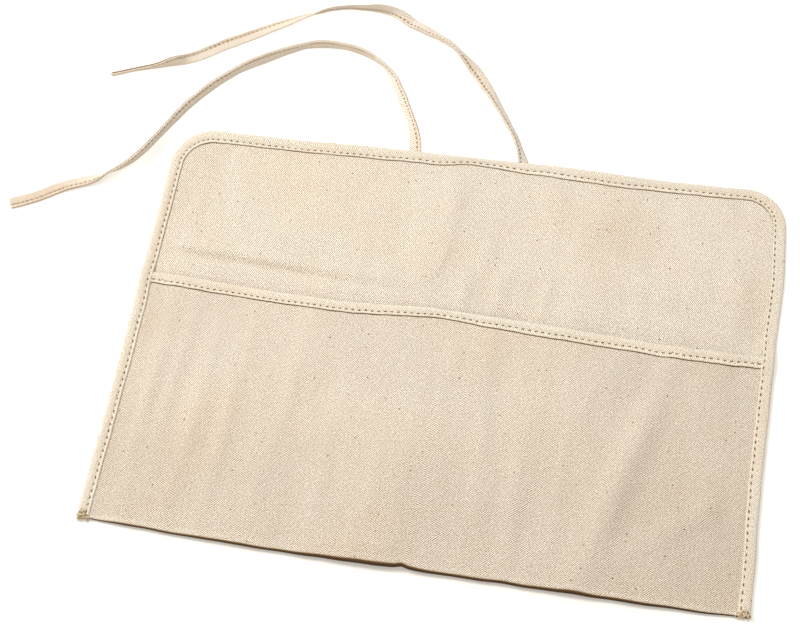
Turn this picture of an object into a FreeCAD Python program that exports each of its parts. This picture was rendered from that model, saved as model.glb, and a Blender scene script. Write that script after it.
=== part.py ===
import FreeCAD, Part
import Sketcher
import math
import os

# A flat roll-up pouch of natural cotton drill. One cloth runs from the flap down the back, turns round a
# soft fold at the bottom and comes up again as the front of a single full-width pocket. A narrow strip of
# the same cloth binds both sides and the flap, another binds the pocket's mouth, and two flat tie tapes
# are sewn to the back and come out past the top edge.
#
# The pouch lies open on a table: X is its width, Y points from the bottom fold to the flap, Z is up.
# The origin is on the table, at the middle of the cloth. All sizes are in millimetres.

SIZES = (
    ("roll_width", 430.0, "width over both side bindings"),
    ("roll_height", 300.0, "from the bottom fold to the top edge of the flap"),
    ("cloth", 0.6, "thickness of the drill"),
    ("binding_ply", 0.4, "thickness of one leg of a binding"),
    ("edge_binding_width", 8.0, "width of the binding round sides and flap"),
    ("mouth_binding_width", 8.0, "width of the binding on the pocket's mouth"),
    ("binding_end_inset", 1.0, "distance from the bottom edge to the edge binding's raw ends"),
    ("corner_radius", 28.0, "outer radius of the flap's two corners"),
    ("fold_line", 54.0, "height of the flap's fold above the middle of the cloth"),
    ("fold_parting", 0.3, "gap between the back and the flap where the cloth folds"),
    ("mouth_left", 35.0, "height of the mouth's edge at the left side"),
    ("mouth_right", 26.0, "height of the mouth's edge at the right side"),
    ("pocket_clearance", 4.3, "clear height between the back and the mouth's inner leg"),
    ("side_slope", 12.0, "run over which the pocket's front comes down to its side seam"),
    ("fold_limb", 2.0, "straight part of the bottom fold above and below its bend"),
    ("ply_clearance", 0.1, "space between two cloths where they are sewn together"),
    ("lift_half_width", 60.0, "half width of the cloth that lies raised over the ties"),
    ("lift_run", 120.0, "run over which the raised cloth comes down to the table"),
    ("tie_width", 8.5, "width of a tie tape"),
    ("tie_thickness", 1.2, "thickness of a tie tape, folded twice and stitched"),
    ("tie_clearance", 0.15, "space over the ties where they pass below the top binding"),
    ("bar_tack_length", 22.0, "length of the stitched bar that holds both ties"),
    ("bar_tack_width", 3.0, "width of that bar"),
    ("bar_tack_height", 8.0, "height of the bar above the middle of the cloth"),
    ("corner_tack_width", 3.0, "width of the thread tack on each lower end of the edge binding"),
    ("corner_tack_thickness", 0.5, "thickness of that tack"),
    ("corner_tack_inset", 2.0, "distance from that tack to the bottom edge"),
)

# The ties' routes on the table, from the bar tack behind the pouch to their free ends. Each is a list of
# the corners that the tape's middle line rounds.
TIE_LEFT_ROUTE = (
    (-6, 4), (-8, 30), (-20, 70), (-38, 108), (-45, 140), (-47, 165), (-62, 193), (-77, 217), (-97, 231),
    (-128, 236), (-158, 224), (-190, 205), (-212, 177), (-230, 146), (-240, 121), (-258, 104), (-284, 94),
    (-306, 82), (-323, 74),
)
TIE_RIGHT_ROUTE = (
    (6, 4), (10, 32), (26, 70), (38, 106), (36, 138), (25, 168), (6, 196), (-16, 223), (-34, 244),
    (-60, 258), (-84, 268), (-112, 272), (-138, 262), (-165, 246.5), (-193.5, 228), (-220.5, 209),
    (-246, 203), (-264, 196), (-277, 189),
)
ARC_SHARE = 0.45  # share of the shorter run that a route's arc takes at each corner

doc = FreeCAD.newDocument("roll_up_pouch")
sheet = doc.addObject("Spreadsheet::Sheet", "sizes")
for row, (alias, number, note) in enumerate(SIZES, start=1):
    sheet.set(f"A{row}", alias)
    sheet.set(f"B{row}", str(number))
    sheet.set(f"C{row}", note)
    sheet.setAlias(f"B{row}", alias)
doc.recompute()

# Places that several pieces share, as expressions on the sheet.
HALF_WIDTH = "sizes.roll_width / 2"
HALF_HEIGHT = "sizes.roll_height / 2"
CLOTH_EDGE = f"({HALF_WIDTH} - sizes.binding_ply)"
BINDING_INNER = f"({HALF_WIDTH} - sizes.edge_binding_width)"
BACK_LOW = "sizes.binding_ply"
BACK_HIGH = "(sizes.binding_ply + sizes.cloth)"
SEAM_LOW = f"({BACK_HIGH} + sizes.ply_clearance)"
SEAM_HIGH = f"({SEAM_LOW} + sizes.cloth)"
LIFT = "(sizes.tie_thickness + sizes.tie_clearance)"
LIFT_EDGE = "(sizes.lift_half_width + sizes.lift_run)"
FRONT_LOW = f"({BACK_HIGH} + {LIFT} + sizes.pocket_clearance + sizes.binding_ply)"
FRONT_HIGH = f"({FRONT_LOW} + sizes.cloth)"
SLOPE_TOP = f"({BINDING_INNER} - sizes.side_slope)"
SIDE_SLOPE = ((BINDING_INNER, SEAM_LOW), (SLOPE_TOP, FRONT_LOW))
BEND_RADIUS = f"(({FRONT_HIGH} - {BACK_LOW}) / 2)"
PANEL_START = f"(-{HALF_HEIGHT} + {BEND_RADIUS} + sizes.fold_limb)"
BACK_END = "(sizes.fold_line - sizes.fold_parting / 2)"
FLAP_START = "(sizes.fold_line + sizes.fold_parting / 2)"
FLAP_END = f"({HALF_HEIGHT} - sizes.binding_ply)"


def value(expression):
    """The number that an expression on the sheet gives now."""
    return float(sheet.evalExpression(str(expression)))


def add_body(name):
    body = doc.addObject("PartDesign::Body", name)
    body.Label = name
    return body


def add_sketch(body, name, plane, offset="0"):
    """An empty sketch on one of the body's origin planes, moved along the plane's normal by offset."""
    sketch = body.newObject("Sketcher::SketchObject", name)
    support = next(item for item in body.Origin.OriginFeatures if item.Role == plane)
    sketch.AttachmentSupport = [(support, "")]
    sketch.MapMode = "FlatFace"
    sketch.setExpression("AttachmentOffset.Base.z", offset)
    return sketch


def bind(sketch, kind, edge, point, expression):
    """Holds one coordinate of a sketch point at the value of an expression."""
    number = sketch.addConstraint(Sketcher.Constraint(kind, -1, 1, edge, point, value(expression)))
    sketch.setExpression(f"Constraints[{number}]", expression)


def close_polygon(sketch, corners):
    """A closed outline through corners, each given as two expressions."""
    places = [FreeCAD.Vector(value(across), value(up), 0) for across, up in corners]
    edges = []
    for start, end in zip(places, places[1:] + places[:1]):
        edges.append(sketch.addGeometry(Part.LineSegment(start, end)))
    for edge, following in zip(edges, edges[1:] + edges[:1]):
        sketch.addConstraint(Sketcher.Constraint("Coincident", edge, 2, following, 1))
    for edge, (across, up) in zip(edges, corners):
        bind(sketch, "DistanceX", edge, 1, across)
        bind(sketch, "DistanceY", edge, 1, up)


def bind_arc(sketch, centre, radius, turns):
    """Adds an arc about centre, from the first to the second of turns, counted in right angles from the
    sketch's first axis. Its centre, radius and ends are held by expressions."""
    middle = FreeCAD.Vector(value(centre[0]), value(centre[1]), 0)
    circle = Part.Circle(middle, FreeCAD.Vector(0, 0, 1), value(radius))
    arc = sketch.addGeometry(Part.ArcOfCircle(circle, *(turn * math.pi / 2 for turn in turns)))
    bind(sketch, "DistanceX", arc, 3, centre[0])
    bind(sketch, "DistanceY", arc, 3, centre[1])
    number = sketch.addConstraint(Sketcher.Constraint("Radius", arc, value(radius)))
    sketch.setExpression(f"Constraints[{number}]", radius)
    for point, turn in zip((1, 2), turns):
        if turn % 2:
            bind(sketch, "DistanceX", arc, point, centre[0])
        else:
            bind(sketch, "DistanceY", arc, point, centre[1])
    return arc


def join(sketch, *ends):
    """A line between two existing sketch points, each given as (edge, point)."""
    line = sketch.addGeometry(Part.LineSegment(*(sketch.getPoint(*end) for end in ends)))
    for point, end in zip((1, 2), ends):
        sketch.addConstraint(Sketcher.Constraint("Coincident", line, point, *end))
    return line


def draw_arch(sketch, side, top, radius):
    """An outline from the first axis up to top, between -side and side, with both upper corners round."""
    right = bind_arc(sketch, (f"({side} - {radius})", f"({top} - {radius})"), radius, (0, 1))
    left = bind_arc(sketch, (f"({radius} - {side})", f"({top} - {radius})"), radius, (1, 2))
    start = FreeCAD.Vector(-value(side), 0, 0)
    base = sketch.addGeometry(Part.LineSegment(start, FreeCAD.Vector(value(side), 0, 0)))
    for point, across in ((1, f"-{side}"), (2, side)):
        bind(sketch, "DistanceX", base, point, across)
        bind(sketch, "DistanceY", base, point, "0")
    join(sketch, (base, 2), (right, 1))
    join(sketch, (right, 2), (left, 1))
    join(sketch, (left, 2), (base, 1))


def draw_lifted_sheet(sketch, edge, low, high, lift):
    """Section of a cloth that lies on the table at both sides and is raised by lift in its middle."""
    run = ((edge, "0"), (LIFT_EDGE, "0"), ("sizes.lift_half_width", lift))
    upper = [(f"-{x}", f"{high} + {z}") for x, z in run] + [(x, f"{high} + {z}") for x, z in reversed(run)]
    lower = [(x, f"{low} + {z}") for x, z in run] + [(f"-{x}", f"{low} + {z}") for x, z in reversed(run)]
    close_polygon(sketch, upper + lower)


def draw_pocket_section(sketch, run, ply="0"):
    """Section of the pocket's front: flat, with both sides coming down to the seam. run is its lower side
    from the seam to the flat part, and ply is what covers the cloth above and below."""
    low = [(x, f"{z} - {ply}") for x, z in run]
    high = [(x, f"{z} + sizes.cloth + {ply}") for x, z in run]
    upper = [(f"-{x}", z) for x, z in high] + list(reversed(high))
    lower = low + [(f"-{x}", z) for x, z in reversed(low)]
    close_polygon(sketch, upper + lower)


def add_pad(body, sketch, length):
    """A pad towards +Y from a sketch on the XZ plane, whose normal points to -Y."""
    pad = body.newObject("PartDesign::Pad", f"{sketch.Name}_pad")
    pad.Profile = sketch
    pad.setExpression("Length", length)
    pad.Reversed = True
    doc.recompute()
    return pad


def cut_through(body, sketch):
    """A pocket through the whole body, both ways from its sketch. It has to take something away."""
    before = body.Shape.Volume
    pocket = body.newObject("PartDesign::Pocket", f"{sketch.Name}_cut")
    pocket.Profile = sketch
    pocket.Type = "ThroughAll"
    pocket.Midplane = True
    doc.recompute()
    if body.Shape.Volume > before - 1.0:
        raise RuntimeError(f"{pocket.Name} cut nothing")
    return pocket


def round_corners(body, name, across, up, radius):
    """Rounds the two upright edges at (-across, up) and (across, up)."""
    feature = body.Tip
    chosen = []
    for index, edge in enumerate(feature.Shape.Edges, start=1):
        box = edge.BoundBox
        upright = box.ZLength > 0.1 and box.XLength < 0.01 and box.YLength < 0.01
        if upright and abs(abs(box.XMin) - value(across)) < 0.01 and abs(box.YMin - value(up)) < 0.01:
            chosen.append(f"Edge{index}")
    if len(chosen) != 2:
        raise RuntimeError(f"{name}: {len(chosen)} corners found")
    fillet = body.newObject("PartDesign::Fillet", name)
    fillet.Base = (feature, chosen)
    fillet.setExpression("Radius", radius)
    doc.recompute()
    return fillet


def add_cut(name, base, tools):
    """base less each of the tools, as one chain of cuts. The last one is the piece."""
    result = base
    for count, tool in enumerate(tools, start=1):
        cut = doc.addObject("Part::Cut", name if count == len(tools) else f"{name}_less_{tool.Name}")
        cut.Base = result
        cut.Tool = tool
        result = cut
    result.Label = name
    return result


def make_back_panel():
    """The back, from the bottom fold up to the flap's fold, raised in the middle over the ties."""
    body = add_body("back_panel")
    section = add_sketch(body, "back_section", "XZ_Plane", f"-{PANEL_START}")
    draw_lifted_sheet(section, CLOTH_EDGE, BACK_LOW, BACK_HIGH, LIFT)
    add_pad(body, section, f"{BACK_END} - {PANEL_START}")
    return body


def draw_fold_section(sketch, low, high):
    """Section of the bottom fold: the cloth comes in along its underside at low, turns round a half circle
    and goes back with its top side at high. Across is Y here and up is Z."""
    radius = f"(({high} - {low}) / 2)"
    centre = (f"(-{HALF_HEIGHT} + {radius})", f"({low} + {radius})")
    limbs = []
    for rim in (radius, f"({radius} - sizes.cloth)"):
        bend = bind_arc(sketch, centre, rim, (1, 3))
        for point in (1, 2):
            joint = sketch.getPoint(bend, point)
            limb = sketch.addGeometry(Part.LineSegment(joint, joint + FreeCAD.Vector(value(radius), 0, 0)))
            sketch.addConstraint(Sketcher.Constraint("Coincident", bend, point, limb, 1))
            sketch.addConstraint(Sketcher.Constraint("Horizontal", limb))
            bind(sketch, "DistanceX", limb, 2, PANEL_START)
            limbs.append(limb)
    outer_top, outer_bottom, inner_top, inner_bottom = limbs
    join(sketch, (outer_top, 2), (inner_top, 2))
    join(sketch, (outer_bottom, 2), (inner_bottom, 2))


def make_bottom_fold():
    """The bottom fold: pressed flat at both side seams, full between the pocket's side slopes, and raised
    with the back in its middle. A loft through its sections along X."""
    body = add_body("bottom_fold")
    stations = (
        (CLOTH_EDGE, BACK_LOW, SEAM_HIGH),
        (BINDING_INNER, BACK_LOW, SEAM_HIGH),
        (SLOPE_TOP, BACK_LOW, FRONT_HIGH),
        (LIFT_EDGE, BACK_LOW, FRONT_HIGH),
        ("sizes.lift_half_width", f"({BACK_LOW} + {LIFT})", FRONT_HIGH),
    )
    along = [(f"-{x}", low, high) for x, low, high in stations] + list(reversed(stations))
    sections = []
    for count, (x, low, high) in enumerate(along, start=1):
        section = add_sketch(body, f"fold_section_{count}", "YZ_Plane", x)
        draw_fold_section(section, low, high)
        sections.append(section)
    loft = body.newObject("PartDesign::AdditiveLoft", "fold_loft")
    loft.Profile = sections[0]
    loft.Sections = sections[1:]
    loft.Ruled = True
    return body


def mouth_height(across, below="0"):
    """The height of the mouth's slanting edge at a place across the pouch."""
    slope = "(sizes.mouth_right - sizes.mouth_left) / sizes.roll_width"
    return f"(sizes.mouth_left + ({across} + {HALF_WIDTH}) * {slope} - {below})"


def draw_mouth_band(sketch, low, high):
    """An outline that follows the mouth's slanting edge, from low below it to high below it."""
    left = f"-{HALF_WIDTH}"
    right = HALF_WIDTH
    corners = [(left, mouth_height(left, low)), (right, mouth_height(right, low))]
    corners += [(right, mouth_height(right, high)), (left, mouth_height(left, high))]
    close_polygon(sketch, corners)


def make_pocket_front():
    """The pocket's front, from the bottom fold up to the slanting mouth."""
    body = add_body("pocket_front")
    section = add_sketch(body, "front_section", "XZ_Plane", f"-{PANEL_START}")
    draw_pocket_section(section, ((CLOTH_EDGE, SEAM_LOW),) + SIDE_SLOPE)
    add_pad(body, section, f"{HALF_HEIGHT} - {PANEL_START}")
    waste = add_sketch(body, "front_waste", "XY_Plane")
    draw_mouth_band(waste, "sizes.binding_ply", f"-{HALF_HEIGHT}")
    cut_through(body, waste)
    return body


def make_mouth_binding(pocket_front, back_panel):
    """The strip folded over the pocket's top edge, between the two side bindings."""
    blank = add_body("mouth_binding_blank")
    section = add_sketch(blank, "mouth_section", "XZ_Plane", f"-{PANEL_START}")
    draw_pocket_section(section, SIDE_SLOPE, "sizes.binding_ply")
    add_pad(blank, section, f"{HALF_HEIGHT} - {PANEL_START}")
    above = add_sketch(blank, "mouth_above", "XY_Plane")
    draw_mouth_band(above, "0", f"-{HALF_HEIGHT}")
    cut_through(blank, above)
    below = add_sketch(blank, "mouth_below", "XY_Plane")
    draw_mouth_band(below, f"({HALF_HEIGHT} * 2)", "sizes.mouth_binding_width")
    cut_through(blank, below)
    return add_cut("mouth_binding", blank, (back_panel, pocket_front))


def add_box(name, low, high):
    """A box between two corners, each three expressions."""
    box = doc.addObject("Part::Box", name)
    for side, start, end in zip(("Length", "Width", "Height"), low, high):
        box.setExpression(side, f"({end}) - ({start})")
    for axis, start in zip("xyz", low):
        box.setExpression(f"Placement.Base.{axis}", start)
    return box


def side_places(side):
    """The edge binding's inner edge, its outer edge and the cloth's edge inside it, on one side."""
    return tuple(f"({side} * {place})" for place in (BINDING_INNER, f"({HALF_WIDTH})", CLOTH_EDGE))


def make_side_binding(name, side):
    """One side's binding up to the flap's fold: a strip folded round the cloth's edge, a leg below, a leg
    above and the wrap between them. Beside the pocket it holds two cloths, and above it one."""
    inner, outer, cloth_edge = side_places(side)
    bottom = f"(sizes.binding_end_inset - {HALF_HEIGHT})"
    step = mouth_height(outer)
    body = add_body(name)
    stretches = (("two_cloths", bottom, step, SEAM_HIGH), ("one_cloth", step, BACK_END, BACK_HIGH))
    for part, start, end, held in stretches:
        section = add_sketch(body, f"{name}_{part}", "XZ_Plane", f"-{start}")
        top = f"({held} + sizes.binding_ply)"
        corners = [(inner, "0"), (outer, "0"), (outer, top), (inner, top)]
        corners += [(inner, held), (cloth_edge, held), (cloth_edge, BACK_LOW), (inner, BACK_LOW)]
        close_polygon(section, corners)
        add_pad(body, section, f"{end} - {start}")
    return body


def make_flap_panel():
    """The flap, with its two rounded corners, raised in the middle over the ties."""
    body = add_body("flap_panel")
    section = add_sketch(body, "flap_section", "XZ_Plane", f"-{FLAP_START}")
    draw_lifted_sheet(section, CLOTH_EDGE, BACK_LOW, BACK_HIGH, LIFT)
    add_pad(body, section, f"{FLAP_END} - {FLAP_START}")
    round_corners(body, "flap_corners", CLOTH_EDGE, FLAP_END, "sizes.corner_radius - sizes.binding_ply")
    return body


def make_flap_binding(flap_panel):
    """The strip folded round the flap's edge: a blank with the flap's outline, opened inside the strip's
    width, less the flap itself, which leaves one leg above, one below and the wrap between them."""
    blank = add_body("flap_binding_blank")
    section = add_sketch(blank, "flap_binding_section", "XZ_Plane", f"-{FLAP_START}")
    draw_lifted_sheet(section, HALF_WIDTH, "0", f"({BACK_HIGH} + sizes.binding_ply)", LIFT)
    add_pad(blank, section, f"{HALF_HEIGHT} - {FLAP_START}")
    round_corners(blank, "binding_outer_corners", HALF_WIDTH, HALF_HEIGHT, "sizes.corner_radius")
    window = add_sketch(blank, "binding_window", "XY_Plane")
    inner_radius = "(sizes.corner_radius - sizes.edge_binding_width)"
    draw_arch(window, BINDING_INNER, f"({HALF_HEIGHT} - sizes.edge_binding_width)", inner_radius)
    cut_through(blank, window)
    return add_cut("flap_binding", blank, (flap_panel,))


def route_wire(name, corners, height):
    """Straight runs joined by arcs, at one height. Prints the smallest radius of the route."""
    places = [FreeCAD.Vector(x, y, height) for x, y in corners]
    edges = []
    radii = []
    here = places[0]
    for before, corner, after in zip(places, places[1:], places[2:]):
        incoming = (corner - before).normalize()
        outgoing = (after - corner).normalize()
        shorter = min((corner - before).Length, (after - corner).Length)
        half_turn = incoming.getAngle(outgoing) / 2
        reach = ARC_SHARE * shorter
        radii.append(reach / math.tan(half_turn))
        start = corner - incoming * reach
        end = corner + outgoing * reach
        inward = (outgoing - incoming).normalize()
        middle = corner + inward * (radii[-1] / math.cos(half_turn) - radii[-1])
        edges.append(Part.LineSegment(here, start).toShape())
        edges.append(Part.Arc(start, middle, end).toShape())
        here = end
    edges.append(Part.LineSegment(here, places[-1]).toShape())
    print(f"{name}: radii {' '.join(f'{radius:.0f}' for radius in radii)} mm")
    return Part.Wire(edges)


def make_tie(name, corners):
    """One tie: a flat tape swept along its route, lying on the table."""
    width = value("sizes.tie_width")
    thickness = value("sizes.tie_thickness")
    path = route_wire(name, corners, thickness / 2)
    along = path.Edges[0].tangentAt(path.Edges[0].FirstParameter)
    across = FreeCAD.Vector(-along.y, along.x, 0) * (width / 2)
    up = FreeCAD.Vector(0, 0, thickness / 2)
    start = path.Edges[0].Vertexes[0].Point
    outline = [start - across - up, start + across - up, start + across + up, start - across + up]
    sweep = Part.BRepOffsetAPI.MakePipeShell(path)
    sweep.setBiNormalMode(FreeCAD.Vector(0, 0, 1))
    sweep.add(Part.makePolygon(outline + outline[:1]))
    sweep.build()
    sweep.makeSolid()
    tie = doc.addObject("Part::Feature", name)
    tie.Label = name
    tie.Shape = sweep.shape()
    tie.Placement = FreeCAD.Placement()
    expected = width * thickness * path.Length
    if abs(tie.Shape.Volume / expected - 1) > 0.01:
        raise RuntimeError(f"{name} holds {tie.Shape.Volume:.0f} mm3, not {expected:.0f} mm3")
    print(f"{name}: length {path.Length:.0f} mm, volume {tie.Shape.Volume:.0f} of {expected:.0f} mm3")
    return tie


def make_tie_tack(back_panel):
    """The stitched bar between the ties' sewn ends and the back."""
    half = "sizes.bar_tack_length / 2"
    low = (f"-{half}", "sizes.bar_tack_height - sizes.bar_tack_width / 2", "sizes.tie_thickness")
    high = (half, "sizes.bar_tack_height + sizes.bar_tack_width / 2", f"{BACK_LOW} + {LIFT}")
    blank = add_box("tie_tack_blank", low, high)
    return add_cut("tie_tack", blank, (back_panel,))


def make_corner_tack(name, side):
    """The thread that holds one lower end of the edge binding, on top of it."""
    low_side, high_side = sorted(side_places(side)[:2], key=value)
    bottom = f"(sizes.corner_tack_inset - {HALF_HEIGHT})"
    seat = f"({SEAM_HIGH} + sizes.binding_ply)"
    low = (low_side, bottom, seat)
    high = (high_side, f"({bottom} + sizes.corner_tack_width)", f"({seat} + sizes.corner_tack_thickness)")
    tack = add_box(name, low, high)
    tack.Label = name
    return tack


back_panel = make_back_panel()
bottom_fold = make_bottom_fold()
pocket_front = make_pocket_front()
flap_panel = make_flap_panel()
nodes = [back_panel, bottom_fold, pocket_front, flap_panel]
nodes.append(make_mouth_binding(pocket_front, back_panel))
nodes.append(make_side_binding("left_binding", -1))
nodes.append(make_side_binding("right_binding", 1))
nodes.append(make_flap_binding(flap_panel))
nodes.append(make_tie("tie_left", TIE_LEFT_ROUTE))
nodes.append(make_tie("tie_right", TIE_RIGHT_ROUTE))
nodes.append(make_tie_tack(back_panel))
nodes.append(make_corner_tack("corner_tack_left", -1))
nodes.append(make_corner_tack("corner_tack_right", 1))
doc.recompute()

for item in doc.Objects:
    if "Invalid" in item.State or "Error" in item.State:
        raise RuntimeError(f"{item.Name} failed: {item.State}")
for node in nodes:
    if node.Shape.isNull() or not node.Shape.isValid() or not node.Shape.Solids:
        raise RuntimeError(f"{node.Label} has no valid shape")

os.makedirs("parts", exist_ok=True)
for node in nodes:
    node.Shape.exportStep(f"parts/{node.Label}.step")
    box = node.Shape.BoundBox
    print(f"{node.Label}: {len(node.Shape.Solids)} solid, {node.Shape.Volume:.0f} mm3,",
          f"x {box.XMin:.2f} {box.XMax:.2f}, y {box.YMin:.2f} {box.YMax:.2f},",
          f"z {box.ZMin:.2f} {box.ZMax:.2f}")
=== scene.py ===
import math

import bpy
import numpy as np
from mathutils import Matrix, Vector


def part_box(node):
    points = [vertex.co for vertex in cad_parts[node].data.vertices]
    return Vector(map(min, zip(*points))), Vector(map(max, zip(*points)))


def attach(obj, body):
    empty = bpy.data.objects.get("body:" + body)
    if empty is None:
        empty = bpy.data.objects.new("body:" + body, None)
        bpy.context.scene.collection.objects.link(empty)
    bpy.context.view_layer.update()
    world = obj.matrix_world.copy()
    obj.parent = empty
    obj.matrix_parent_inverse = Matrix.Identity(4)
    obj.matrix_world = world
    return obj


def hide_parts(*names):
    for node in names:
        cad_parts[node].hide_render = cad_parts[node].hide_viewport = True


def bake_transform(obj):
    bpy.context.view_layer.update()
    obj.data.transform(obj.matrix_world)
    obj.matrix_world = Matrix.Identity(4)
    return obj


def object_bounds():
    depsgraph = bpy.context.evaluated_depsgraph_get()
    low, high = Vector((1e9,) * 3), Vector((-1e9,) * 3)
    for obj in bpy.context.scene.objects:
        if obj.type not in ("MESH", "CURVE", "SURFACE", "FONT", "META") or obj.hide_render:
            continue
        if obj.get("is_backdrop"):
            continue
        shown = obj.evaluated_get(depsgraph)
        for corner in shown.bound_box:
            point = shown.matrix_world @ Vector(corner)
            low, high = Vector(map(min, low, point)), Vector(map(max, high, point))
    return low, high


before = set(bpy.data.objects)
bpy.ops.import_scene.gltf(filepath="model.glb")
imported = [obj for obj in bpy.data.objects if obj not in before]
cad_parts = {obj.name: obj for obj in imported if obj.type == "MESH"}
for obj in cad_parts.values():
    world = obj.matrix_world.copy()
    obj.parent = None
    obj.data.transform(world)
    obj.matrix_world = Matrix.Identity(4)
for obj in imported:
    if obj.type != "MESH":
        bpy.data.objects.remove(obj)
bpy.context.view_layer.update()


# Camera
# A long lens about 1.2 m away, above the pouch's lower right and turned a few degrees about its own axis.

camera_data = bpy.data.cameras.new("camera")
camera_data.sensor_width = 36
camera_data.lens = 81.6
camera = bpy.data.objects.new("camera", camera_data)
camera.location = (0.16374, -0.49135, 1.07624)
camera.rotation_euler = [math.radians(angle) for angle in (26.656, 5.343, 10.341)]
bpy.context.scene.collection.objects.link(camera)
bpy.context.scene.camera = camera


# Tie tapes
# Two flat tapes of unbleached cotton, folded lengthwise and stitched along their open edge. They are sewn to
# the middle of the back, run under the flap and lie on the table in loose curves that turn over.
# Lengths from here on are in mm, and MM turns them to metres.

MM = 0.001
TAPE_WIDTH = 8.5
TAPE_THICKNESS = 1.2
TAPE_PITCH = 3.3
TAPE_ROW = 0.42
# how far a tie runs before it comes out from under the flap, and how far apart a strip's rings of points are
TIE_HIDDEN = 150
RING_STEP = 0.55
TIE_LEFT_ROUTE = (
    (-6, 4), (-8, 30), (-20, 70), (-38, 108), (-43.5, 140), (-47, 165), (-61.5, 193), (-77, 217),
    (-98, 227.8), (-127.5, 231.8), (-155.5, 219.3), (-185.5, 200), (-208.5, 174.5), (-226.5, 144),
    (-238.5, 120), (-257.3, 103.5), (-283.8, 93.8), (-305, 80.5), (-321.2, 73.2),
)
TIE_RIGHT_ROUTE = (
    (6, 4), (10, 32), (26, 70), (38, 106), (36, 138), (25, 168), (6, 196), (-14.6, 223.5), (-33.6, 241.3),
    (-60.2, 254.8), (-84, 265.8), (-110.5, 264.9), (-127.5, 261.2), (-138, 255.9), (-163, 243.4),
    (-193, 226.6), (-219, 208.6), (-244.1, 196.8), (-262.5, 191), (-275, 186),
)
# How a tape lies: distance along it, its turn about its own line in degrees, its height off the table, and
# its width as a share of the whole, which is less where the tape is cupped.
TIE_LEFT_LIE = (
    (0, 0, 0, 1), (150, 8, 0, 1), (161, 26, 0, 1), (169, 44, 0, 1), (177, 60, 0, 1), (186, 54, 0, 1),
    (195, 40, 0, 1), (204, 55, 0, 1), (213, 61, 0, 1), (222, 79, 0, 1), (232, 96, 0, 1), (250, 89, 0, 1),
    (265, 94, 0, 1), (280, 84, 0, 1), (291, 97, 0, 1), (310, 82, 0, 1), (325, 70, 0, 1), (341, 88, 0, 1),
    (376, 79, 0, 1), (395, 80, 0, 1), (417, 91, 0, 1), (440, 94, 0, 1), (457, 106, 0, 1),
    (464, 122, 0, 1), (472, 150, 0, 1), (480, 168, 0, 1), (490, 171, 0, 1), (508, 180, 0, 1),
    (537, 184, 0, 1),
)
TIE_RIGHT_LIE = (
    (0, 180, 0, 1), (142, 180, 0, 1), (153, 158, 0, 0.82), (162, 140, 0, 0.7), (190, 138, 0, 0.7),
    (200, 142, 0, 0.82), (207, 146, 0, 0.92), (217, 156, 0, 1), (227, 168, 0, 1), (237, 165, 0, 1),
    (247, 147, 0, 1), (257, 130, 0.5, 1), (267, 142, 1, 1), (276, 146, 1, 1), (286, 160, 0.5, 1),
    (295, 169, 0, 1), (303, 182, 0, 0.95), (311, 212, 0, 0.92), (320, 254, 0, 1), (328, 262, 0, 1),
    (335, 279, 0, 1), (350, 292, 0, 1), (366, 294, 0, 1), (372, 297, 0, 1), (378, 317, 0, 1),
    (388, 325, 0, 1), (403, 343, 0, 1), (418, 361, 0, 1), (434, 371, 0, 1), (466, 372, 0, 1),
    (475, 384, 0, 0.9), (481, 420, 0, 0.92), (487, 446, 0, 1), (493, 461, 0, 1), (500, 470, 0, 1),
    (535, 474, 0, 1),
)
# One half of a tape's section from its folded to its open edge, in shares of half its width and thickness.
# TAPE_ROW is where its stitches are, and the section dips there.
TAPE_SECTION = (
    (-1, 0), (-0.97, 0.6), (-0.88, 0.92), (-0.6, 1), (-0.2, 0.98), (0.1, 0.96), (0.24, 0.88), (0.34, 0.7),
    (TAPE_ROW, 0.55), (0.5, 0.7), (0.62, 0.9), (0.82, 1), (0.96, 0.98), (1, 0.84), (0.99, 0.4), (0.9, 0.14),
    (0.78, 0),
)


def ease(low, high, value):
    """0 at low, 1 at high and smooth between them."""
    share = np.clip((value - low) / (high - low), 0, 1)
    return share * share * (3 - 2 * share)


def ripple(seed, longest, shortest, x, y=0):
    """A soft random height from about -1 to 1, made of sixteen waves between those lengths."""
    draw = np.random.default_rng(seed)
    total = 0
    for _ in range(16):
        length = shortest * (longest / shortest) ** draw.random()
        heading, phase = draw.random(2) * math.tau
        total = total + np.sin((x * math.cos(heading) + y * math.sin(heading)) / length * math.tau + phase)
    return total / 5


def smoothed(values, count):
    """Values along a line with their corners softened over that many places, an odd number."""
    window = np.hanning(count) / np.hanning(count).sum()
    return np.convolve(np.pad(values, count // 2, mode="edge"), window, "valid")


def linear(hex_code):
    """The linear colour that a node takes, from an sRGB hex code."""
    parts = [int(hex_code[i:i + 2], 16) / 255 for i in (1, 3, 5)]
    return [p / 12.92 if p <= 0.04045 else ((p + 0.055) / 1.055) ** 2.4 for p in parts] + [1]


def start_material(name, values):
    """A new material with those values on its shader, its node tree, and the shader."""
    material = bpy.data.materials.new(name)
    material.use_nodes = True
    shader = material.node_tree.nodes["Principled BSDF"]
    for socket, value in values.items():
        shader.inputs[socket].default_value = value
    return material, material.node_tree, shader


def add_node(tree, kind, settings=None, links=None, output=None):
    """A new node with its settings, and with its inputs set to a value or joined to another node's output.

    It gives the output asked for, or else the first one, which for a Mix of colours is number 2.
    """
    node = tree.nodes.new("ShaderNode" + kind)
    for name, value in (settings or {}).items():
        setattr(node, name, value)
    for name, value in (links or {}).items():
        if isinstance(value, bpy.types.NodeSocket):
            tree.links.new(value, node.inputs[name])
        else:
            node.inputs[name].default_value = value
    if output is None:
        output = 2 if kind == "Mix" else 0
    return node.outputs[output]


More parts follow.
